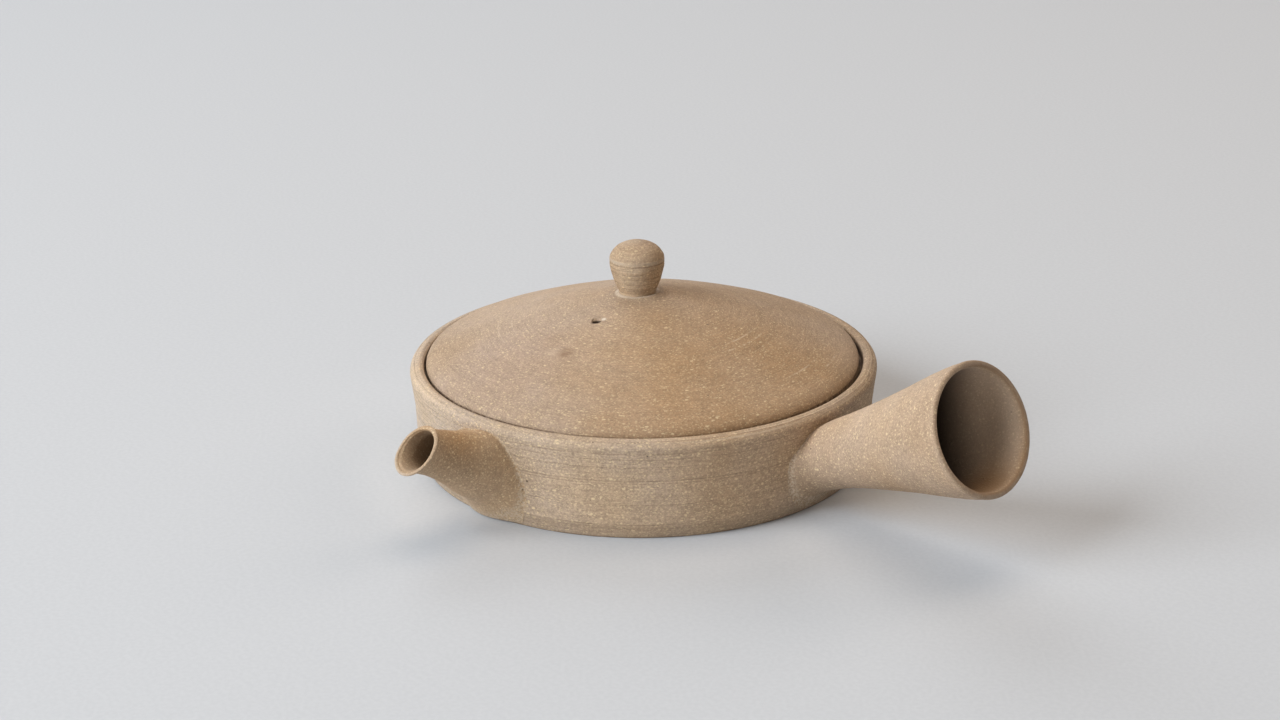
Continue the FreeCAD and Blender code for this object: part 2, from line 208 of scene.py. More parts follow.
def uneven(amount, seed, round_scale, middle=0.0):
    """A function of the turn that swings slowly about a middle value."""
    return lambda turn: middle + amount * ripple(turn, 0.0, 1.0, seed, round_scale)


def grooves(place, lines):
    """How deep a place lies in soft grooves, given as (centre, width, depth)."""
    return sum(-depth * math.exp(-((place - centre) / width) ** 2)
               for centre, width, depth in lines)


def cut_by(piece, cutter):
    """Takes the cutter out of the piece and removes the cutter."""
    modifier = piece.modifiers.new("cut", "BOOLEAN")
    modifier.operation = "DIFFERENCE"
    modifier.solver = "EXACT"
    modifier.object = cutter
    bpy.context.view_layer.update()
    evaluated = piece.evaluated_get(bpy.context.evaluated_depsgraph_get())
    cut = bpy.data.meshes.new_from_object(evaluated)
    cut.name = piece.name
    piece.modifiers.remove(modifier)
    piece.data = cut
    bpy.data.objects.remove(cutter)


def rod(radius, low, high, place, count):
    """A plain round cutter along the place's Z."""
    path = [(0.0, low), (radius, low), (radius, high), (0.0, high)]
    return lathe("cutter", path, count, place=place)


# Materials: one recipe for the clay, with its own tint, specks and lines for each piece.

CLAY = (0.415, 0.298, 0.200)  # linear colour of the bare clay
WARM_CLAY = (0.985, 0.95, 0.88)  # factors on it
COOL_CLAY = (1.02, 1.04, 1.08)
CREAM_SPECK = (1.77, 1.92, 1.76)
DARK_PIT = (0.28, 0.28, 0.28)
ROUGHNESS = 0.74
SEED_STEP = (37.0, 11.0, 23.0)  # how far apart the patterns of two seeds lie

# Linear colours of what lies on the clay, and of the light and shade painted on it.
TINTS = {
    "slip round the knob": (0.62, 0.50, 0.375),
    "slip at a root": (0.58, 0.47, 0.35),
    "smudge": (0.235, 0.140, 0.080),
    "smudge's pale side": (0.56, 0.43, 0.31),
    "chip": (0.16, 0.10, 0.06),
    "chip's pale grain": (0.72, 0.58, 0.42),
    "throwing arc": (0.64, 0.50, 0.36),
    # Painted shade on the side of the lid in the gap.
    "lid's edge": (0.085, 0.046, 0.022),
    # Painted shade inside the steam hole.
    "steam hole": (0.03, 0.018, 0.010),
    # A pale spot at the edge of the steam hole.
    "crumb": (0.72, 0.62, 0.50),
    "knob's cap": (0.300, 0.205, 0.135),
    # Painted highlight below the crease under the knob's cap.
    "knob's shoulder": (0.46, 0.39, 0.31),
    # Dark turned lines, with painted shade under the cap's crease and in the grooves.
    "knob's line": (0.12, 0.075, 0.045),
    # Painted highlight near the top of the knob.
    "knob's top": (0.55, 0.45, 0.34),
    # Painted warm shade inside the handle's mouth.
    "fired inside": (0.30, 0.165, 0.070),
    # A pale lip, painted lighter away from the shaded side.
    "worn lip": (0.56, 0.48, 0.40),
    # Painted shade inside the handle, darkest on the shaded side and deep in.
    "handle's depth": (0.018, 0.008, 0.002),
    # Painted light over the inside of the handle.
    "handle's inside": (0.58, 0.45, 0.345),
    # Painted shade just inside the handle's lip.
    "handle's inner edge": (0.25, 0.150, 0.080),
    # Painted shade inside the spout, darkest on the shaded side and deep in.
    "spout's depth": (0.15, 0.105, 0.068),
    # Painted shade over the inside of the spout.
    "spout's inside": (0.36, 0.265, 0.19),
    # Painted shade just inside the spout's lip.
    "spout's inner edge": (0.30, 0.22, 0.15),
    # Painted shade in the gap beside the lid.
    "gap round the lid": (0.055, 0.032, 0.018),
    # Painted shade in the grooves of the rim.
    "rim's groove": (0.15, 0.09, 0.05),
    # Painted highlight on the ridges of the rim.
    "rim's ridge": (0.58, 0.45, 0.32),
    # Painted highlight on the inner edge of the rim.
    "rim's inner edge": (0.55, 0.42, 0.30),
    # Painted shade in the grooves and creases of the wall, and a painted contact shadow at its
    # foot.
    "wall's line": (0.17, 0.11, 0.065),
    # Painted shade on the down-facing bevel at the foot.
    "wall's bevel": (0.20, 0.125, 0.065),
    "wall's pit": (0.06, 0.035, 0.02),
}


def tinted(colour, factors):
    return tuple(c * f for c, f in zip(colour, factors))


class Net:
    """A material's nodes, made by short calls. A number or colour given for an input is set on it,
    and a socket is linked."""

    def __init__(self, name):
        self.material = bpy.data.materials.new(name)
        self.material.use_nodes = True
        self.tree = self.material.node_tree
        self.tree.nodes.clear()

    def node(self, kind, inputs=None, **settings):
        node = self.tree.nodes.new(kind)
        for key, value in settings.items():
            setattr(node, key, value)
        for key, value in (inputs or {}).items():
            if isinstance(value, bpy.types.NodeSocket):
                self.tree.links.new(value, node.inputs[key])
            else:
                node.inputs[key].default_value = value
        return node

    def math(self, operation, a, b=0.0, c=0.0, clamp=False):
        inputs = {0: a, 1: b, 2: c}
        return self.node("ShaderNodeMath", inputs, operation=operation, use_clamp=clamp).outputs[0]

    def times(self, a, b):
        return self.math("MULTIPLY", a, b)

    def opposite(self, value, amount=1.0):
        """1 less this much of the value."""
        return self.math("MULTIPLY_ADD", value, -amount, 1.0)

    def vector_math(self, operation, a, b):
        """A vector, or a number for the operations that measure one."""
        outputs = self.node("ShaderNodeVectorMath", {0: a, 1: b}, operation=operation).outputs
        return outputs["Value" if operation in ("DISTANCE", "DOT_PRODUCT") else "Vector"]

    def scaled(self, vector, factor):
        inputs = {0: vector, "Scale": factor}
        return self.node("ShaderNodeVectorMath", inputs, operation="SCALE").outputs[0]

    def parts(self, vector):
        return self.node("ShaderNodeSeparateXYZ", {0: vector}).outputs

    def joined(self, x, y, z):
        return self.node("ShaderNodeCombineXYZ", {0: x, 1: y, 2: z}).outputs[0]

    def noise(self, vector, scale, detail=2.0, roughness=0.5, output="Fac"):
        inputs = {"Vector": vector, "Scale": scale, "Detail": detail, "Roughness": roughness}
        return self.node("ShaderNodeTexNoise", inputs).outputs[output]

    def spread(self, value, low, high, to_low=0.0, to_high=1.0):
        """A smooth step, from to_low at low to to_high at high."""
        inputs = {"Value": value, "From Min": low, "From Max": high,
                  "To Min": to_low, "To Max": to_high}
        return self.node("ShaderNodeMapRange", inputs, interpolation_type="SMOOTHSTEP").outputs[0]

    def fall(self, value, full, gone):
        """1 up to full, falling to 0 at gone."""
        return self.spread(value, full, gone, 1.0, 0.0)

    def band(self, value, start, full, end, gone):
        """1 between full and end, falling to 0 at start and gone."""
        return self.times(self.spread(value, start, full), self.fall(value, end, gone))

    def stripe(self, value, centre, width, core=None):
        """A soft line: 1 within the core's distance of the centre, 0 beyond the width."""
        core = width / 2 if core is None else core
        return self.band(value, centre - width, centre - core, centre + core, centre + width)

    def patched(self, share, pattern, least, most, low=0.3, high=0.6):
        """The share, made uneven by a pattern."""
        return self.times(share, self.spread(pattern, low, high, least, most))

    def mix(self, factor, a, b, blend="MIX"):
        node = self.node("ShaderNodeMix", data_type="RGBA", blend_type=blend)
        for socket, value in ((node.inputs[0], factor), (node.inputs[6], a), (node.inputs[7], b)):
            if isinstance(value, bpy.types.NodeSocket):
                self.tree.links.new(value, socket)
            elif socket.type == "RGBA":
                socket.default_value = (*value, 1.0)
            else:
                socket.default_value = value
        return node.outputs[2]

    def along(self, place, run, across, scale):
        """A vector for marks along the turning: slow round the piece, quick along the run."""
        x, y, _ = self.parts(place)
        return self.joined(self.times(x, across), self.times(y, across), self.times(run, scale))

    def near(self, point, centre, inner, outer):
        """1 within the inner distance of a place, falling to 0 at the outer distance."""
        return self.fall(self.vector_math("DISTANCE", point, centre), inner, outer)

    def height(self, point):
        return self.parts(point)[2]

    def from_axis(self, point, x=0.0, y=0.0):
        """How far a point lies from an upright line."""
        place = self.parts(point)
        return self.vector_math("DISTANCE", self.joined(place[0], place[1], 0.0), (x, y, 0.0))

    def dots(self, vector, scale, share, smallest, largest):
        """Round spots of mixed sizes, in this share of the cells of a grid with this scale."""
        cells = self.node("ShaderNodeTexVoronoi", {"Vector": vector, "Scale": scale})
        parts = self.node("ShaderNodeSeparateColor", {"Color": cells.outputs["Color"]})
        chosen = self.math("LESS_THAN", parts.outputs[0], share)
        size = self.math("MULTIPLY_ADD", parts.outputs[1], (largest - smallest) * scale,
                         smallest * scale)
        spot = self.fall(cells.outputs["Distance"], self.times(size, 0.6), size)
        return self.times(spot, chosen)

    def surface(self, colour, roughness, specular, height, strength, distance):
        """Ends the material: a plain shader with a bump from the height."""
        bump = self.node("ShaderNodeBump", {"Height": height, "Strength": strength,
                                            "Distance": distance}).outputs[0]
        shader = self.node("ShaderNodeBsdfPrincipled", {
            "Base Color": colour, "Roughness": roughness, "Specular IOR Level": specular,
            "Normal": bump})
        self.node("ShaderNodeOutputMaterial", {"Surface": shader.outputs[0]})
        return self.material


def clay(name, seed, lines, tone=(1.0, 1.0, 1.0), fine=0.7, small=0.6, large=0.4, line_scale=1.3,
         grain=1.0, drawn=True, light_and_tint_patches=(), marks=None):
    """Unglazed clay: slight mottling, sandy grain, cream specks of three sizes, rare dark pits, the
    fine lines of turning and short strokes along them. Drawn specks lie along the turning.
    light_and_tint_patches are (centre, inner, outer, factor) places whose colour is multiplied by
    the factor; most of them are painted light and shade, lighter and cooler on the lit side and
    darker and warmer on the shaded side. marks(net, point, run) gives (share, name of a tint)
    pairs that lie on top, some of which are painted light and shade."""
    net = Net(name)
    point = net.scaled(net.node("ShaderNodeTexCoord").outputs["Object"], 1.0 / MM)
    place = net.vector_math("ADD", point, tuple(seed * step for step in SEED_STEP))
    run = net.node("ShaderNodeAttribute", attribute_name="run").outputs["Fac"]
    wander = net.noise(place, 2.6, output="Color")
    straight = net.along(place, run, 0.6, 1.0) if drawn else net.scaled(place, 0.85)
    bent = net.vector_math("ADD", straight, net.scaled(wander, 0.40))

    blotch = net.noise(place, 0.045)
    mottle = net.noise(place, 0.22, 3.0, 0.6)
    sand = net.noise(place, 1.3, 4.0, 0.7)
    grit = net.noise(place, 1.9, 3.0, 0.7)
    rings = net.noise(net.along(place, run, 0.02, line_scale), 1.0, 3.0, 0.65)
    strokes = net.noise(net.along(place, run, 0.22, 2.3), 1.0, 2.0, 0.6)
    fine_spots = net.dots(bent, 2.6, fine, 0.10, 0.20)
    small_spots = net.dots(bent, 1.45, small, 0.14, 0.27)
    large_spots = net.dots(bent, 0.75, large, 0.20, 0.36)
    pits = net.dots(place, 0.3, 0.16, 0.10, 0.30)
    spots = net.math("MAXIMUM", net.times(fine_spots, 0.60),
                     net.math("MAXIMUM", net.times(small_spots, 0.85), large_spots))

    base = tinted(CLAY, tone)
    colour = net.mix(net.spread(blotch, 0.3, 0.7), tinted(base, WARM_CLAY), tinted(base, COOL_CLAY))
    # Each patch multiplies the colour near a place; most of them are painted light and shade.
    for centre, inner, outer, factor in light_and_tint_patches:
        colour = net.mix(net.near(point, centre, inner, outer), colour, factor, "MULTIPLY")
    light = net.math("MULTIPLY_ADD", sand, 0.40 * grain, 1.0 - 0.20 * grain)
    for pattern, swing in ((grit, 1.10 * grain), (mottle, 0.34), (rings, 0.30 * lines),
                           (strokes, 0.40 * lines)):
        light = net.math("MULTIPLY_ADD", pattern, swing, net.math("SUBTRACT", light, swing / 2))
    colour = net.scaled(colour, light)
    cream = tinted(tinted(CLAY, CREAM_SPECK), (tone[0],) * 3)
    colour = net.mix(net.times(spots, 0.80), colour, cream)
    colour = net.mix(net.times(pits, 0.8), colour, tinted(base, DARK_PIT))
    if marks:
        for share, tint in marks(net, point, run):
            colour = net.mix(share, colour, TINTS[tint])

    height = net.times(sand, 0.10 * grain)
    for pattern, rise in ((grit, 0.05 * grain), (mottle, 0.10), (rings, 0.12 * lines),
                          (strokes, 0.06 * lines), (spots, 0.03), (pits, -0.16)):
        height = net.math("MULTIPLY_ADD", pattern, rise, height)
    rough = net.math("MULTIPLY_ADD", sand, 0.20, ROUGHNESS - 0.10, clamp=True)
    return net.surface(colour, rough, 0.4, height, 1.0, MM)


# The walls that the luted pieces meet.

WALL_RADIUS = smooth_curve(WALL_PROFILE)
WALL_STEP = 0.3  # half the height over which the wall's slope is taken
ROOT_FLOOR = 0.45  # a root stays above this height,
FLOOR_SHARPNESS = 6.0
FLOOR_REACH = 3.0  # where it is lower than this
ROOT_ROOF = 23.9  # and below this height, which rises beyond the rim
ROOF_START = 60.2
ROOF_RISE = 0.9
ROOF_SHARPNESS = 4.0
ROOF_REACH = 4.0
SINK = 0.35  # the open ends of a luted piece are sunk this deep in the wall
BEAD_PROUD = 0.02
BEAD_TUCK = 0.25
BEAD_STEPS = 6
CLEAR_OUTSIDE = 14.0  # distances at which the outer form and the bore are clear of the wall
CLEAR_BORE = 8.0
HALVINGS = 40
LIP_RUN = 0.25  # what the run gains from one row of the lip to the next,
OVER_LIP_RUN = 3.0  # and what it gains over the whole lip


def wall_normal(point):
    """The outward normal of the bowl's outer side at a point on it."""
    rise = WALL_RADIUS(point.z + WALL_STEP) - WALL_RADIUS(point.z - WALL_STEP)
    flat = Vector((point.x, point.y, 0.0)).normalized()
    return Vector((flat.x, flat.y, -rise / (2 * WALL_STEP))).normalized()


def on_wall(point, proud):
    """The point moved straight in or out to the bowl's outer side, and this far proud of it."""
    height = max(point.z, ROOT_FLOOR)
    radius = WALL_RADIUS(height) + proud
    flat = Vector((point.x, point.y, 0.0)).normalized()
    return Vector((flat.x * radius, flat.y * radius, height))


def crossing(line, start, end):
    """Where a line from outside (start) to inside (end) meets the bowl's outer side."""
    for _ in range(HALVINGS):
        middle = (start + end) / 2
        place = line(middle)
        if math.hypot(place.x, place.y) > WALL_RADIUS(place.z):
            start = middle
        else:
            end = middle
    return start


def kept_above(value, limit, sharpness):
    """The value, bent softly so that it stays above the limit."""
    return limit + math.log1p(math.exp((value - limit) * sharpness)) / sharpness


def luted_tube(name, ring, tube, bore, flare, lift, reach, fade, seam, mouth, deep, count):
    """A hollow form that stands on the wall. ring(s, turn, radius) gives a point at a distance s
    from the wall, and tube and bore are radii along s. flare is how much wider the root is at the
    wall for a direction's lift, and it fades over the reach. The root ends in a soft bead of slip,
    as wide as the seam. deep is a distance inside the wall, and count is the number of columns."""
    columns = []
    runs = []
    for k in range(count):
        turn = 2 * math.pi * k / count
        extra = flare(lift(turn))
        meet = crossing(lambda s: ring(s, turn, tube(s) + extra), CLEAR_OUTSIDE, deep)

        def line(s):
            left = max(0.0, 1.0 - (s - meet) / reach)
            return ring(s, turn, tube(s) + extra * left ** fade)
        width = seam(turn)
        point = line(meet)
        spoke = point - ring(meet, turn, 0.0)
        normal = wall_normal(point)
        along = (spoke - normal * spoke.dot(normal)).normalized()
        foot = on_wall(point + along * width, BEAD_PROUD)
        climb = meet + width
        top = line(climb)
        column = [on_wall(point + along * (width + BEAD_TUCK), -SINK)]
        run = [meet - 1.2 * width]
        for j in range(BEAD_STEPS + 1):
            t = j / BEAD_STEPS
            column.append(hooked(foot, point, top, t))
            run.append(meet + width * (2 * t - 1))
        last = mouth["start"]
        for j in range(1, mouth["rows"] + 1):
            s = climb + (last - climb) * j / mouth["rows"]
            column.append(line(s))
            run.append(s)
        for lip in mouth["lip"]:
            column.append(lip(turn))
            run.append(run[-1] + LIP_RUN)
        bottom = crossing(lambda s: ring(s, turn, bore(s)), CLEAR_BORE, deep)
        for j in range(mouth["inner_rows"] + 1):
            s = mouth["inner_start"] + (bottom - mouth["inner_start"]) * j / mouth["inner_rows"]
            column.append(ring(s, turn, bore(s)))
            run.append(2 * last - s + OVER_LIP_RUN)
        column.append(on_wall(ring(bottom, turn, bore(bottom)), -SINK))
        run.append(run[-1])
        columns.append(column)
        runs.append(run)
    for column in columns:
        for point in column:
            roof = ROOT_ROOF + ROOF_RISE * max(0.0, math.hypot(point.x, point.y) - ROOF_START)
            if abs(point.z - roof) < ROOF_REACH:
                point.z = -kept_above(-point.z, -roof, ROOF_SHARPNESS)
            if point.z < FLOOR_REACH:
                point.z = kept_above(point.z, ROOT_FLOOR, FLOOR_SHARPNESS)
    rows = [list(row) for row in zip(*columns)]
    row_runs = [list(row) for row in zip(*runs)]
    return skin(name, rows, row_runs, ring=True)


def lip_points(ring, length, outer, thick, rounding, unevenness, steps=10):
    """Functions of the turn that close a mouth from its outer side over to its inner side."""
    points = []
    for j in range(steps + 1):
        bow = math.pi * j / steps
        middle = outer - rounding if bow < math.pi / 2 else outer - thick + rounding
        across = middle + rounding * math.cos(bow)
        up = length - rounding + rounding * math.sin(bow)
        points.append(lambda turn, a=across, u=up: ring(u + unevenness(turn), turn, a))
    return points


# The bowl.

WALL_GROOVES = ((15.2, 0.45, 0.07), (9.3, 0.30, 0.03), (18.6, 0.30, 0.03))
FLARE_GROOVES = ((22.75, 0.20, 0.06), (21.3, 0.25, 0.05))
RIM_GROOVES = ((57.35, 0.22, 0.02), (58.75, 0.16, 0.06))
OUTER_SIDE = 56.0  # beyond this radius the wall's outer side begins
FLARE_START = 20.5
RIM_START = 24.0
RIM_TOP = 25.0


def bowl_wobble(angle, radius, height, run):
    thrown = 0.10 * ripple(angle, height, 0.05, 3.0) + 0.04 * ripple(angle, run, 0.55, 9.0, 0.25)
    if radius > OUTER_SIDE and 5.0 < height <= FLARE_START:
        thrown += grooves(height, WALL_GROOVES)
    if radius > OUTER_SIDE and height > FLARE_START:
        thrown += 0.03 * ripple(angle, run, 1.6, 5.0, 0.3)
        thrown += grooves(height, FLARE_GROOVES)
    if height > RIM_START:
        up = 0.08 * ripple(angle, 0.0, 1.0, 7.0, 1.1)
        if height > RIM_TOP:
            up += (0.55 + 0.45 * math.cos(angle - 0.3)) * grooves(radius, RIM_GROOVES)
        return thrown, up
    if radius < 49.0 and 2.0 < height < 5.0:  # the spiral on the inner floor
        spiral = math.sin(radius * 1.15 - angle) * 0.11 * min(1.0, radius / 8.0)
        return thrown, spiral
    if 50.0 < radius < 55.5 and 6.0 < height < 20.5:  # rings on the inner side
        thrown += 0.14 * math.sin(height * 1.5 - angle)
    return (thrown, 0.0) if height > 0.6 else (0.0, 0.0)


bowl_path = rounded_path([
    (0.0, 0.0, 0), (57.2, 0.0, 0.5), (58.72, 4.0, 2.2), (59.2, 16.0, 14.0), (60.2, 24.3, 1.7),
    (59.4, 25.55, 1.5), (57.9, 26.05, 1.7), (56.75, 25.65, 1.1), (56.35, 24.6, 0.9),
    (56.35, LEDGE, 0.4), (51.2, LEDGE, 0.6), (51.2, 22.3, 0.5), (INNER_WALL, 19.7, 1.5),
    (INNER_WALL, FLOOR_TOP, 5.5), (0.0, FLOOR_TOP, 0),
], step=0.45)
bowl = lathe("clay_bowl", bowl_path, count=288, wobble=bowl_wobble)
port_place = (Matrix.Rotation(PORT_TURN, 4, "Z") @ Matrix.Translation((0, 0, PORT_HEIGHT))
              @ Matrix.Rotation(math.radians(90), 4, "Y"))
cut_by(bowl, rod(PORT_RADIUS, 48.0, 66.0, port_place, count=48))

# The handle: a trumpet whose axis isn't quite radial.

HANDLE_LENGTH = 54.8
handle_seat = around(58.82, math.radians(1.6), 13.5)
handle_turned = (Matrix.Rotation(math.radians(-1.7), 4, "Z")
                 @ Matrix.Rotation(math.radians(90 - 23.6), 4, "Y"))
handle_axis = (handle_turned @ Vector((0, 0, 1))).normalized()
handle_down = (handle_turned @ Vector((1, 0, 0))).normalized()
handle_side = (handle_turned @ Vector((0, 1, 0))).normalized()
handle_tube = smooth_curve([
    (-12.0, 8.35), (3.0, 8.35), (8.6, 8.5), (13.0, 8.9), (23.1, 10.4), (35.0, 12.55), (45.1, 14.6),
    (50.0, 15.4), (HANDLE_LENGTH, 15.95)])
handle_bore = smooth_curve([
    (-12.0, 8.0), (-2.0, 7.4), (8.6, 6.6), (23.1, 8.5), (35.0, 10.65), (45.1, 12.7), (50.0, 13.6),
    (HANDLE_LENGTH, 14.45)])
handle_flare = smooth_curve([
    (-1.0, 3.05), (-0.62, 2.95), (-0.47, 2.5), (-0.29, 2.1), (0.0, 1.6), (0.15, 1.25),
    (0.33, 0.65), (0.53, -0.25), (0.68, -0.7), (1.0, -0.9)])


def handle_ring(s, turn, radius):
    out = radius + 0.10 * ripple(turn, s, 0.07, 21.0, 0.7) + 0.05 * ripple(turn, s, 0.5, 25.0, 0.3)
    return (handle_seat + handle_axis * s + handle_down * (out * math.cos(turn))
            + handle_side * (out * math.sin(turn)))


handle = luted_tube(
    "clay_handle", handle_ring, handle_tube, handle_bore, handle_flare,
    lift=lambda turn: -math.cos(turn), reach=7.0, fade=2.1, seam=uneven(0.2, 41.0, 1.4, 0.5),
    mouth={"start": HANDLE_LENGTH - 0.8, "rows": 120,
           "inner_rows": 70, "inner_start": HANDLE_LENGTH - 0.9,
           "lip": lip_points(handle_ring, HANDLE_LENGTH, 15.9, 1.55, 0.7, uneven(0.12, 31.0, 1.2))},
    deep=-9.0, count=192)

# The spout: rings along its axis that lean up and away from the handle towards the mouth.

SPOUT_LENGTH = 23.4
spout_seat = around(58.85, PORT_TURN, 14.3)
spout_mouth = Vector((4.44, -79.94, 24.2))
spout_axis = (spout_mouth - spout_seat).normalized()
mouth_normal = Vector((-0.1212, -0.7164, 0.6871)).normalized()
spout_side = Vector((0, 0, 1)).cross(spout_axis).normalized()
spout_tube = smooth_curve([
    (-10.0, 9.4), (-5.0, 9.4), (0.0, 9.25), (2.0, 9.0), (4.6, 8.55), (10.0, 6.95), (15.0, 6.0),
    (18.3, 5.75), (20.6, 5.85), (22.2, 6.2), (SPOUT_LENGTH, 6.7)])
spout_bore = smooth_curve([
    (-10.0, 8.6), (0.0, 7.6), (4.6, 6.2), (10.0, 5.0), (15.0, 4.25), (19.0, 4.25), (21.2, 4.75),
    (22.5, 5.3), (SPOUT_LENGTH, 5.65)])
spout_flare = smooth_curve([
    (-1.0, 5.9), (-0.9, 5.8), (-0.8, 5.3), (-0.56, 4.2), (-0.45, 3.5), (-0.25, 2.5), (0.05, 1.5),
    (0.39, 1.2), (0.63, 0.95), (0.79, 0.5), (0.9, -0.1), (0.97, -0.7), (1.0, -1.1)])
spout_rise = smooth_curve([
    (-10.0, 0.0), (8.0, 0.0), (13.0, 0.2), (18.0, 0.42), (21.0, 0.38), (SPOUT_LENGTH, 0.0)])
spout_lean = smooth_curve([
    (-10.0, 0.0), (7.0, 0.0), (12.0, 0.16), (17.0, 0.5), (21.0, 0.88), (SPOUT_LENGTH, 1.0)])


def spout_ring(s, turn, radius):
    out = radius + 0.07 * ripple(turn, s, 0.12, 51.0, 0.8) + 0.03 * ripple(turn, s, 0.9, 55.0, 0.4)
    normal = spout_axis.lerp(mouth_normal, spout_lean(s)).normalized()
    side = (spout_side - normal * spout_side.dot(normal)).normalized()
    up = normal.cross(side)
    return (spout_seat + spout_axis * min(s, SPOUT_LENGTH) + normal * max(0.0, s - SPOUT_LENGTH)
            + side * (out * math.cos(turn)) + up * (out * math.sin(turn) + spout_rise(s)))


spout = luted_tube(
    "clay_spout", spout_ring, spout_tube, spout_bore, spout_flare,
    lift=lambda turn: math.sin(turn - 0.25), reach=11.0, fade=1.7,
    seam=uneven(0.2, 71.0, 1.4, 0.5),
    mouth={"start": SPOUT_LENGTH - 0.5, "rows": 72,
           "inner_rows": 44, "inner_start": SPOUT_LENGTH - 0.5,
           "lip": lip_points(spout_ring, SPOUT_LENGTH, 6.68, 1.05, 0.5, uneven(0.14, 61.0, 1.5))},
    deep=-9.5, count=144)

# The strainer: a pierced dome behind the spout, cut from a ball.

STRAINER_FOOT = 7.6
STRAINER_RISE = 4.6
STRAINER_WALL = 1.7
BALL_RADIUS = (STRAINER_FOOT ** 2 + STRAINER_RISE ** 2) / (2 * STRAINER_RISE)
BALL_HEIGHT = STRAINER_RISE - BALL_RADIUS
FOOT_ANGLE = math.asin(STRAINER_FOOT / BALL_RADIUS)
HOLE_RADIUS = 0.66
HOLE_RINGS = ((1, 0.0), (6, 0.26), (12, 0.52), (18, 0.78))  # holes, share of the way to the foot


def on_ball(radius, share):
    """A place on a ball of this radius, at a share of the way from its top to the dome's foot."""
    angle = FOOT_ANGLE * share
    return radius * math.sin(angle), BALL_HEIGHT + radius * math.cos(angle)


inward = (Matrix.Translation(around(INNER_WALL, PORT_TURN, PORT_HEIGHT))
          @ Matrix.Rotation(PORT_TURN, 4, "Z") @ Matrix.Rotation(math.radians(-90), 4, "Y"))
dome_path = [(STRAINER_FOOT - 1.7, -1.6), (STRAINER_FOOT + 0.9, -1.6), (STRAINER_FOOT + 0.8, -0.5),
             (STRAINER_FOOT + 0.35, 0.05)]
dome_path += [on_ball(BALL_RADIUS, 0.95 - 0.95 * k / 16) for k in range(16)]
dome_path += [(0.0, STRAINER_RISE), (0.0, STRAINER_RISE - STRAINER_WALL)]
dome_path += [on_ball(BALL_RADIUS - STRAINER_WALL, 0.92 * k / 12) for k in range(1, 13)]
strainer = lathe("clay_strainer", dome_path + [dome_path[0]], count=64, place=inward)
for count, share in HOLE_RINGS:
    for k in range(count):
        tilt = (Matrix.Rotation(2 * math.pi * (k + 0.5 * share) / count, 4, "Z")
                @ Matrix.Translation((0, 0, BALL_HEIGHT))
                @ Matrix.Rotation(FOOT_ANGLE * share, 4, "Y"))
        cut_by(strainer, rod(HOLE_RADIUS, 3.0, BALL_RADIUS + 2.0, inward @ tilt, count=14))

# The lid and its steam hole.

LID_SHIFT = part_frame(-0.22, -0.17, 0.0)  # the lid lies a little off the bowl's axis
DOME_ARC = 329.0
DOME_EDGE = (54.05, LEDGE + 4.5)
DOME_TOP = (6.9, LEDGE + 19.15)
BROW = 52.6  # the radius where the dome starts to turn down to its edge
VENT_RADIUS = 1.35
vent = around(17.8, math.radians(-84.8))


def dome_height(radius):
    """The dome's line between its edge and the knob's flat: an arc of a large circle."""
    (x0, z0), (x1, z1) = DOME_EDGE, DOME_TOP
    chord = math.hypot(x1 - x0, z1 - z0)
    mx, mz = (x0 + x1) / 2, (z0 + z1) / 2
    nx, nz = (z0 - z1) / chord, (x1 - x0) / chord
    reach = math.sqrt(DOME_ARC ** 2 - (chord / 2) ** 2)
    cx, cz = mx + nx * reach, mz + nz * reach
    return cz + math.sqrt(max(DOME_ARC ** 2 - (radius - cx) ** 2, 0.0))


def lid_wobble(angle, radius, height, run):
    up = 0.0
    if height > LEDGE + 3.0:
        up = (0.10 * ripple(angle, radius, 0.03, 81.0, 0.9)
              + 0.035 * ripple(angle, radius, 0.35, 85.0, 0.2))
        up *= min(1.0, radius / 12.0)
    out = 0.06 * ripple(angle, 0.0, 1.0, 89.0, 1.0) if radius > 40 else 0.0
    return out, up


dome_line = [(r, dome_height(r)) for r in [BROW - 0.75 * k for k in range(61)] if r > 7.6]
hooks = [Vector(v) for v in ((55.75, 25.1), (55.72, 27.0), (54.2, dome_height(BROW) - 0.72),
                             dome_line[0])]
brow_line = [hooks[0] * (1 - t) ** 3 + hooks[1] * (3 * t * (1 - t) ** 2)
             + hooks[2] * (3 * t * t * (1 - t)) + hooks[3] * t ** 3
             for t in [k / 12 for k in range(1, 12)]]
lid_path = rounded_path([
    (0.0, 39.9, 0), (5.6, 39.9, 2.0), (25.8, 32.8, 30.0), (46.2, 27.4, 1.6), (47.6, 25.6, 1.4),
    (47.6, 17.0, 0.6), (50.4, 17.0, 0.7), (50.4, LEDGE, 0.3), (55.75, LEDGE, 0.7), (55.75, 25.1, 0),
], step=0.5)
lid_path += [tuple(v) for v in brow_line] + dome_line
lid_path += rounded_path([
    dome_line[-1] + (0,), (6.9, 42.62, 1.2), (5.9, 43.1, 0.6), (5.2, LID_TOP, 0.5),
    (0.0, LID_TOP, 0),
], step=0.4)[1:]
lid = lathe("clay_lid", lid_path, count=288, wobble=lid_wobble,
            place=Matrix.Translation(LID_SHIFT))
cut_by(lid, rod(VENT_RADIUS, 30.0, 50.0, Matrix.Translation(vent), count=28))

# The knob, set a little off centre.

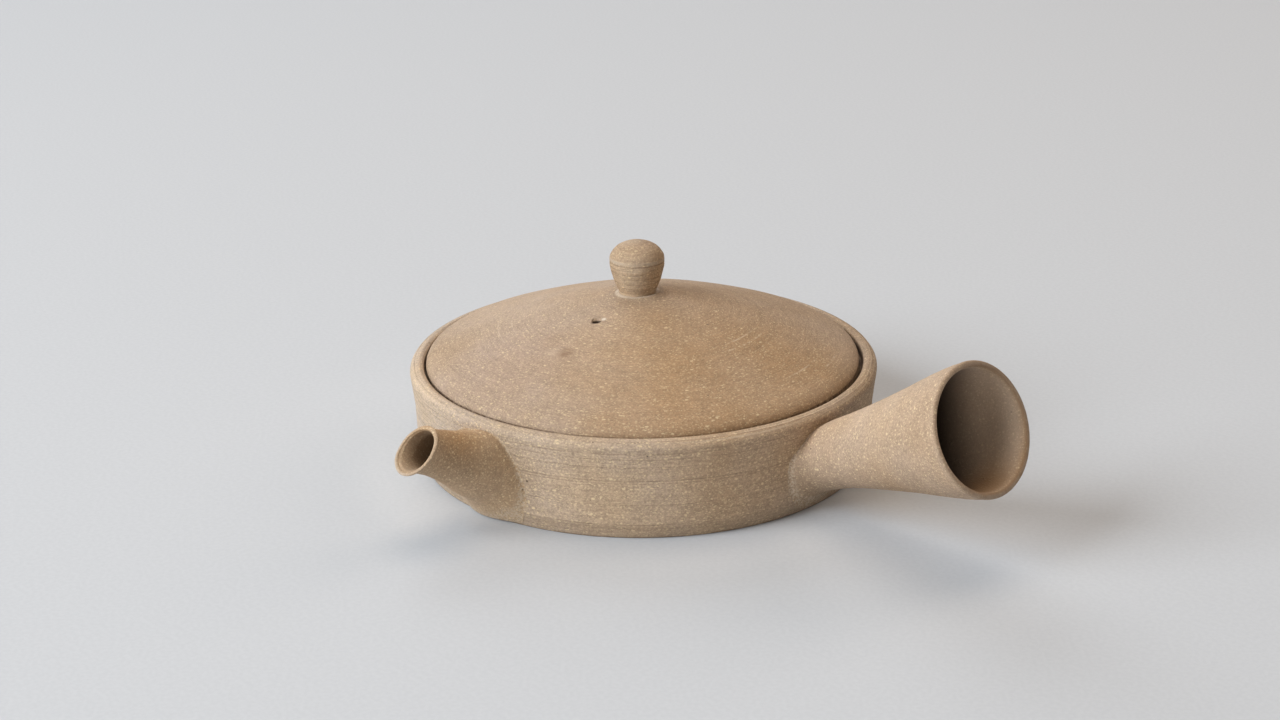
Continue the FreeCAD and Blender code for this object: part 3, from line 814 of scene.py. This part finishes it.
KNOB_HEIGHT = 13.5
KNOB_GROOVES = ((8.35, 0.16, 0.07), (6.1, 0.14, 0.05), (4.3, 0.18, 0.06))
CAP_HEIGHT = 9.95  # where the knob's side ends and its cap begins
CAP_RADIUS = 6.66
knob_side = smooth_curve([
    (0.0, 4.75), (0.25, 4.68), (0.8, 4.92), (1.7, 5.36), (3.1, 5.9), (4.2, 6.26), (5.3, 6.56),
    (6.4, 6.82), (7.5, 6.99), (8.6, 7.0), (9.3, 6.94), (9.7, 6.86), (CAP_HEIGHT, 6.74)])
knob_cap = smooth_curve([
    (0.0, KNOB_HEIGHT), (1.5, 13.37), (3.0, 12.95), (4.0, 12.55), (5.0, 12.0), (5.6, 11.5),
    (6.1, 10.95), (6.45, 10.45), (CAP_RADIUS, 10.1)])
knob_path = [(0.0, -0.3), (4.6, -0.3)]
knob_path += [(knob_side(h), h) for h in [CAP_HEIGHT * k / 44 for k in range(45)]]
knob_path += [(r, knob_cap(r)) for r in [CAP_RADIUS - CAP_RADIUS * k / 24 for k in range(24)]]
knob_path += [(0.0, KNOB_HEIGHT)]


def knob_wobble(angle, radius, height, run):
    out = 0.06 * ripple(angle, height, 0.10, 91.0, 0.8)
    if 1.0 < height < 10.0:
        out += 0.05 * ripple(angle, height, 1.1, 95.0, 0.25)
        out += grooves(height, KNOB_GROOVES)
    return out, 0.0


knob_place = (Matrix.Translation(around(1.1, math.radians(-134.0), LID_TOP))
              @ Matrix.Translation(LID_SHIFT))
knob = lathe("clay_knob", knob_path, count=112, wobble=knob_wobble, place=knob_place)
knob_seat = knob_place.translation

# What lies on the clay of each piece, and the light and shade painted on it.

# Pale arcs that throwing left on the lid, as (middle, radius on the lid, reach from the middle).
LID_ARCS = (((-21.9, -29.7, 34.3), 37.0, 16.0), ((-24.0, -24.0, 35.0), 33.4, 12.0),
            ((32.5, 3.6, 35.6), 32.6, 12.0), ((29.6, 6.5, 36.0), 30.2, 9.0),
            ((45.5, 11.0, 30.7), 47.0, 9.0), ((45.0, 22.0, 29.5), 50.2, 8.0))
# Turned lines as (height or radius, width, share).
KNOB_LINES = ((9.86, 0.20, 0.12), (8.35, 0.16, 0.6), (7.25, 0.12, 0.4), (6.1, 0.16, 0.55),
              (4.9, 0.12, 0.4), (3.4, 0.18, 0.45), (1.6, 0.14, 0.35))
# The line at 0.2 is a painted contact shadow along the foot; the others are mostly painted shade in
# the wall's grooves and creases.
WALL_LINES = ((22.75, 0.16, 0.45), (21.3, 0.12, 0.4), (19.2, 0.10, 0.35), (15.6, 0.14, 0.55),
              (14.9, 0.12, 0.45), (9.3, 0.10, 0.35), (4.1, 0.25, 0.35), (0.2, 0.30, 0.6))
# Dark rim lines are painted shade in the grooves, pale ones painted highlights on the ridges and
# the inner edge.
RIM_LINES = ((57.4, 0.30, 0.10, "rim's groove"), (59.0, 0.22, 0.50, "rim's groove"),
             (58.62, 0.16, 0.60, "rim's ridge"), (59.55, 0.18, 0.70, "rim's ridge"),
             (56.85, 0.2, 0.35, "rim's inner edge"))


def lid_marks(net, point, run):
    height = net.height(point)
    patchy = net.noise(point, 0.8, 3.0, 0.6)
    slip = net.band(net.from_axis(point, knob_seat.x, knob_seat.y), 4.6, 4.9, 5.4, 5.95)
    yield net.patched(slip, patchy, 0.4, 0.85, low=0.25), "slip round the knob"
    smudge = net.near(point, (4.66, -31.64, 35.82), 0.5, 3.0)
    yield net.patched(smudge, patchy, 0.35, 0.8), "smudge"
    yield net.times(net.near(point, (2.0, -32.6, 35.6), 0.5, 3.0), 0.22), "smudge's pale side"
    chip = net.near(point, (53.9, 14.3, 27.8), 0.5, 1.5)
    yield net.patched(chip, patchy, 0.2, 0.8), "chip"
    yield net.times(net.near(point, (54.2, 15.3, 27.6), 0.25, 0.5), 0.8), "chip's pale grain"
    across = net.from_axis(point, LID_SHIFT.x, LID_SHIFT.y)
    broken = net.spread(net.noise(net.along(point, run, 0.5, 0.5), 1.0, 2.0, 0.6), 0.38, 0.58)
    for middle, radius, reach in LID_ARCS:
        arc = net.times(net.stripe(across, radius, 0.24, core=0.10),
                        net.near(point, middle, 0.35 * reach, reach))
        yield net.times(arc, net.times(broken, 0.55)), "throwing arc"
    # Painted shade: the side of the lid is darkened where it sits in the gap, less towards the
    # front.
    edge = net.times(net.spread(across, 55.0, 55.5), net.band(height, 24.2, 24.9, 25.42, 25.62))
    front = net.near(point, part_frame(6.0, -56.0, 25.0), 14.0, 46.0)
    edge = net.times(edge, net.opposite(front, 0.6))
    yield net.patched(edge, patchy, 0.15, 0.85), "lid's edge"
    # Painted shade inside the steam hole.
    hole = net.times(net.fall(net.from_axis(point, vent.x, vent.y), 1.5, 1.7),
                     net.fall(height, 39.2, 39.7))
    yield net.times(hole, 0.9), "steam hole"
    # A pale spot at the edge of the steam hole.
    crumb = net.near(point, (vent.x + 1.05, vent.y + 1.35, 40.05), 0.35, 0.95)
    yield net.patched(crumb, patchy, 0.4, 1.0, high=0.5), "crumb"


def knob_marks(net, point, run):
    height = net.math("SUBTRACT", net.height(point), LID_TOP)
    patchy = net.noise(net.along(point, run, 0.25, 1.2), 1.0, 3.0, 0.6)
    broken = net.spread(patchy, 0.3, 0.65, 0.15, 1.0)
    yield net.times(net.spread(height, 9.2, 9.8), 0.16), "knob's cap"
    # Painted highlight: a pale band just below the crease under the cap.
    shoulder = net.band(height, 8.3, 8.8, 9.2, 9.7)
    yield net.times(shoulder, net.times(broken, 0.55)), "knob's shoulder"
    # Dark turned lines; the one under the cap's crease and those in the grooves are painted shade.
    for centre, width, share in KNOB_LINES:
        yield net.times(net.stripe(height, centre, width), net.times(broken, share)), "knob's line"
    # Painted highlight near the top of the knob.
    yield net.times(net.near(point, (-2.0, -1.5, 57.0), 1.0, 4.5), 0.25), "knob's top"


def tube_marks(piece, length, shade, dark, deep, pale, edge, lip_share, warm=None):
    """Pale slip at the root, a pale lip that is painted lighter away from the shaded side, and
    painted light and shade inside that darkens towards the shaded side, for a luted tube. shade is
    a place, a direction towards the shaded side and two distances along it; dark, deep, pale and
    edge are shares of painted shade towards that side, painted shade further in, a painted tone
    over the whole inside and painted shade just inside the lip; warm is a place and a share of
    painted warm shade."""
    def marks(net, point, run):
        place, direction, start, full = shade
        offset = net.vector_math("SUBTRACT", point, place)
        side = net.spread(net.vector_math("DOT_PRODUCT", offset, direction), start, full)
        patchy = net.noise(point, 0.5, 3.0, 0.6)
        grains = net.noise(point, 1.7, 3.0, 0.7)
        off_wall = net.math("SUBTRACT", net.from_axis(point), 59.0)
        slip = net.times(net.fall(off_wall, 0.5, 1.6), net.fall(run, length * 0.5, length * 0.6))
        yield net.patched(slip, grains, 0.0, 0.75, low=0.42), "slip at a root"
        # Painted light and shade over the whole inside: lighter in the handle, a little darker in
        # the spout.
        inside = net.spread(run, length + 1.6, length + 5.0)
        yield net.times(inside, pale), piece + "'s inside"
        # Painted warm shade inside, near the given place.
        if warm:
            warm_shade = net.times(inside, net.near(point, warm[0], 3.0, 13.0))
            yield net.times(warm_shade, warm[1]), "fired inside"
        # Painted shade inside, darker towards the shaded side and further in.
        yield net.times(inside, net.times(side, dark)), piece + "'s depth"
        yield net.times(net.spread(run, length + 6.0, length + 40.0), deep), piece + "'s depth"
        # Painted shade in a band just inside the lip, away from the shaded side.
        brim = net.band(run, length - 0.5, length + 0.3, length + 2.1, length + 3.0)
        brim = net.times(brim, net.opposite(side))
        yield net.times(brim, edge), piece + "'s inner edge"
        # A pale lip, painted lighter away from the shaded side.
        lip = net.band(run, length - 0.9, length - 0.2, length + 1.4, length + 2.2)
        lip = net.times(lip, net.opposite(side, 0.8))
        yield net.patched(lip, patchy, 0.2 * lip_share, lip_share), "worn lip"
    return marks


def bowl_marks(net, point, run):
    height, across = net.height(point), net.from_axis(point)
    smooth = net.near(point, part_frame(-36.0, -44.0, 25.0), 24.0, 64.0)
    high = net.times(net.spread(height, 24.0, 24.6), net.opposite(smooth, 0.85))
    patchy = net.noise(net.along(point, run, 0.2, 1.2), 1.0, 3.0, 0.6)
    broken = net.spread(patchy, 0.3, 0.6, 0.2, 1.0)
    # Painted shade on the rim and ledge in the gap beside the lid.
    gap = net.times(net.band(across, 55.3, 55.8, 56.5, 56.9),
                    net.band(height, 23.0, 23.4, 25.0, 25.35))
    yield net.patched(gap, patchy, 0.5, 0.9, low=0.25), "gap round the lid"
    # Painted shade in the grooves of the rim and painted highlights on its ridges and inner edge,
    # left out towards the front-left.
    for centre, width, share, tint in RIM_LINES:
        line = net.times(net.stripe(across, centre, width), high)
        yield net.times(line, net.times(broken, share)), tint
    # Dark lines on the wall: painted shade in its grooves and creases, and a painted contact shadow
    # along the foot.
    outer = net.spread(across, 56.5, 57.0)
    for centre, width, share in WALL_LINES:
        line = net.times(net.stripe(height, centre, width), outer)
        yield net.times(line, net.times(broken, share)), "wall's line"
    # Painted shade on the down-facing bevel at the foot.
    bevel = net.times(net.fall(height, 3.2, 4.0), outer)
    yield net.times(bevel, 0.14), "wall's bevel"
    yield net.times(net.near(point, (17.2, -56.44, 12.94), 0.15, 0.42), 0.85), "wall's pit"


def on_handle(down, along):
    return handle_seat + handle_down * down + handle_axis * along


def by_knob(x, y, z):
    return knob_seat + part_frame(x, y, z)


# The finish of each piece.

# Patches on the bowl: lighter and cooler on the left is painted light; darker and warmer on the
# right and front-right is painted shade; a little warmer low on the front.
bowl_clay = clay(
    "clay_of_bowl", 1.0, lines=1.25, tone=(1.02, 1.095, 1.235), fine=0.8, small=0.8, large=0.7,
    grain=1.15, marks=bowl_marks, light_and_tint_patches=[
        ((36.0, -45.0, 10.0), 8.0, 34.0, (1.05, 0.995, 0.91)),
        ((46.0, 36.0, 32.0), 20.0, 50.0, (0.88, 0.80, 0.70)),
        ((57.0, -16.0, 22.0), 8.0, 34.0, (1.03, 0.935, 0.80)),
        (part_frame(-57.0, -12.0, 22.0), 10.0, 38.0, (1.23, 1.22, 1.19))])
# Patches on the handle: darker under its root and along its underside, and darker and warmer at the
# right of its mouth, are painted shade; lighter and cooler on its top is painted light.
handle_clay = clay(
    "clay_of_handle", 2.0, lines=0.4, tone=(1.01, 0.99, 1.0), small=0.5, large=0.5, drawn=False,
    marks=tube_marks(
        "handle", HANDLE_LENGTH - 0.85,
        shade=(on_handle(0.0, 50.0), part_frame(-1.0, 0.0, 0.0), -5.0, 6.5),
        dark=1.0, deep=0.35, pale=0.5, edge=0.75, lip_share=0.3, warm=(on_handle(13.0, 49.0), 0.7)),
    light_and_tint_patches=[
        (on_handle(8.0, 1.0), 6.0, 19.0, (0.78, 0.77, 0.74)),
        (on_handle(14.0, 30.0), 6.0, 24.0, (0.90, 0.87, 0.83)),
        (on_handle(0.0, 54.0) + part_frame(16.0, 0.0, -4.0), 6.0, 17.0, (0.92, 0.82, 0.68)),
        (on_handle(-12.0, 32.0), 8.0, 26.0, (1.11, 1.14, 1.17))])
# Patches on the spout: darker and warmer at the top by the mouth; lighter and cooler low on its
# left, which is painted light.
spout_clay = clay(
    "clay_of_spout", 3.0, lines=0.3, tone=(1.02, 0.97, 0.88), small=0.75, large=0.6, drawn=False,
    marks=tube_marks(
        "spout", SPOUT_LENGTH - 0.5, shade=(spout_mouth, part_frame(1.0, 0.0, 0.0), -7.0, 2.0),
        dark=0.55, deep=0.6, pale=0.3, edge=0.3, lip_share=0.65),
    light_and_tint_patches=[
        ((1.5, -70.0, 25.0), 4.0, 13.0, (1.0, 0.90, 0.74)),
        ((5.0, -67.0, 7.0), 3.0, 14.0, (1.14, 1.14, 1.16))])
strainer_clay = clay("clay_of_strainer", 4.0, lines=0.3)
# Patches on the lid: darker and warmer on the right is painted shade; lighter and cooler on the
# front-left and the back-left is painted light; a little warmer at the front and a little darker
# round the knob's flat.
lid_clay = clay(
    "clay_of_lid", 5.0, lines=0.95, tone=(0.94, 0.93, 0.95), small=0.5, large=0.32,
    marks=lid_marks, light_and_tint_patches=[
        ((42.0, -6.0, 32.0), 16.0, 54.0, (0.98, 0.895, 0.745)),
        ((-6.0, -40.0, 33.0), 4.0, 26.0, (1.0, 1.0, 1.06)),
        ((-4.0, -54.0, 29.0), 6.0, 34.0, (1.01, 1.05, 1.13)),
        ((40.0, -32.0, 29.0), 4.0, 22.0, (1.0, 0.98, 0.95)),
        (part_frame(-28.0, 28.0, 34.0), 10.0, 36.0, (1.15, 1.19, 1.26)),
        ((0.0, 0.0, 43.0), 7.0, 20.0, (0.95, 0.95, 0.95))])
# Patches on the knob: darker and warmer on the right is painted shade; lighter and cooler on the
# front-left is painted light; a little darker at the top.
knob_clay = clay(
    "clay_of_knob", 6.0, lines=1.6, tone=(1.02, 1.02, 1.03), small=0.55, line_scale=1.6,
    marks=knob_marks, light_and_tint_patches=[
        (by_knob(7.0, -2.0, 6.0), 2.0, 9.0, (0.98, 0.91, 0.78)),
        (by_knob(-2.0, -7.0, 5.0), 2.0, 7.0, (1.08, 1.14, 1.20)),
        (by_knob(0.0, 0.0, 14.0), 2.0, 6.0, (0.94, 0.92, 0.92))])

# Who rides on what, and what each piece stands for.

PIECES = [
    (bowl, "pot", "bowl", bowl_clay),
    (handle, "pot", "handle", handle_clay),
    (spout, "pot", "spout", spout_clay),
    (strainer, "pot", "strainer", strainer_clay),
    (lid, "lid", "lid", lid_clay),
    (knob, "lid", "lid_knob", knob_clay),
]
for piece, body, node, finish in PIECES:
    piece.data.materials.clear()
    piece.data.materials.append(finish)
    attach(piece, body)
    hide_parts(node)

# The stage, in metres: a plain pale floor and soft studio light, cool from the left and behind,
# weaker and warm from the right, above and the front.

FLOOR_HALF = 6.0
floor_mesh = bpy.data.meshes.new("floor")
floor_mesh.from_pydata([(x * FLOOR_HALF, y * FLOOR_HALF, 0.0)
                        for x, y in ((-1, -1), (1, -1), (1, 1), (-1, 1))], [], [(0, 1, 2, 3)])
floor = bpy.data.objects.new("floor", floor_mesh)
bpy.context.collection.objects.link(floor)
paper = Net("floor_paper")
paper_grain = paper.noise(paper.node("ShaderNodeTexCoord").outputs["Object"], 900.0, 3.0)
paper_colour = paper.mix(paper.spread(paper_grain, 0.3, 0.7),
                         (0.560, 0.583, 0.617), (0.585, 0.608, 0.642))
floor.data.materials.append(paper.surface(paper_colour, 0.9, 0.2, paper_grain, 0.1, 0.0002))

world = bpy.data.worlds.new("studio")
bpy.context.scene.world = world
world.use_nodes = True
background = world.node_tree.nodes["Background"]
background.inputs["Color"].default_value = (0.93, 0.96, 1.0, 1.0)
background.inputs["Strength"].default_value = 0.06

COOL_LIGHT = (0.91, 0.96, 1.0)
LIGHT_AIM = (0, 0, 0.02)
# Round lights as (name, place in the photograph's frame, size, power, colour).
LIGHTS = (("key_left", (-1.6, -0.9, 1.1), 1.4, 49.5, COOL_LIGHT),
          ("overhead", (0, 0.2, 1.6), 1.3, 8.6, (1.0, 0.82, 0.64)),
          ("back_left", (-0.6, 1.9, 1.2), 1.6, 18.5, COOL_LIGHT),
          ("back_right", (1.5, 0.9, 1.2), 1.4, 10.0, (1.0, 0.84, 0.70)),
          ("fill_front", (-0.3, -2.2, 0.9), 1.6, 8.8, (1.0, 0.92, 0.84)))
for name, place, size, power, colour in LIGHTS:
    light = bpy.data.lights.new(name, "AREA")
    light.shape = "DISK"
    light.size = size
    light.energy = power
    light.color = colour
    lamp = bpy.data.objects.new(name, light)
    bpy.context.collection.objects.link(lamp)
    lamp.location = part_frame(*place)
    aim = part_frame(*LIGHT_AIM) - lamp.location
    lamp.rotation_euler = aim.to_track_quat("-Z", "Y").to_euler()

# The camera, worked out from the photograph.

RIM_SCALE = 60.0 / 59.67  # the camera was fitted to a rim of this smaller radius
ELEVATION = math.radians(20.45)
ROLL = math.radians(-0.73)
CAMERA_AWAY = 600.0
CAMERA_AIM = Vector((-0.86, 0, 24.1))
FOCAL_PIXELS = 2332.0
PICTURE_PIXELS = 1280.0
SENSOR_MM = 36.0
forward = Vector((0, math.cos(ELEVATION), -math.sin(ELEVATION)))
level_up = Vector((0, math.sin(ELEVATION), math.cos(ELEVATION)))
level_right = Vector((1, 0, 0))
right = level_right * math.cos(ROLL) + level_up * math.sin(ROLL)
up = level_up * math.cos(ROLL) - level_right * math.sin(ROLL)
spot = (CAMERA_AIM - forward * CAMERA_AWAY) * RIM_SCALE
camera_data = bpy.data.cameras.new("camera")
camera_data.sensor_fit = "HORIZONTAL"
camera_data.sensor_width = SENSOR_MM
camera_data.lens = FOCAL_PIXELS / PICTURE_PIXELS * SENSOR_MM
camera_data.clip_start = 0.01
camera = bpy.data.objects.new("camera", camera_data)
bpy.context.collection.objects.link(camera)
axes = [part_frame(*v) for v in (right, up, -forward)]
camera.matrix_world = Matrix.Translation(part_frame(*spot) * MM) @ Matrix(
    [[axes[c][r] for c in range(3)] for r in range(3)]).to_4x4()
bpy.context.scene.camera = camera

bpy.context.scene.view_settings.view_transform = "Standard"
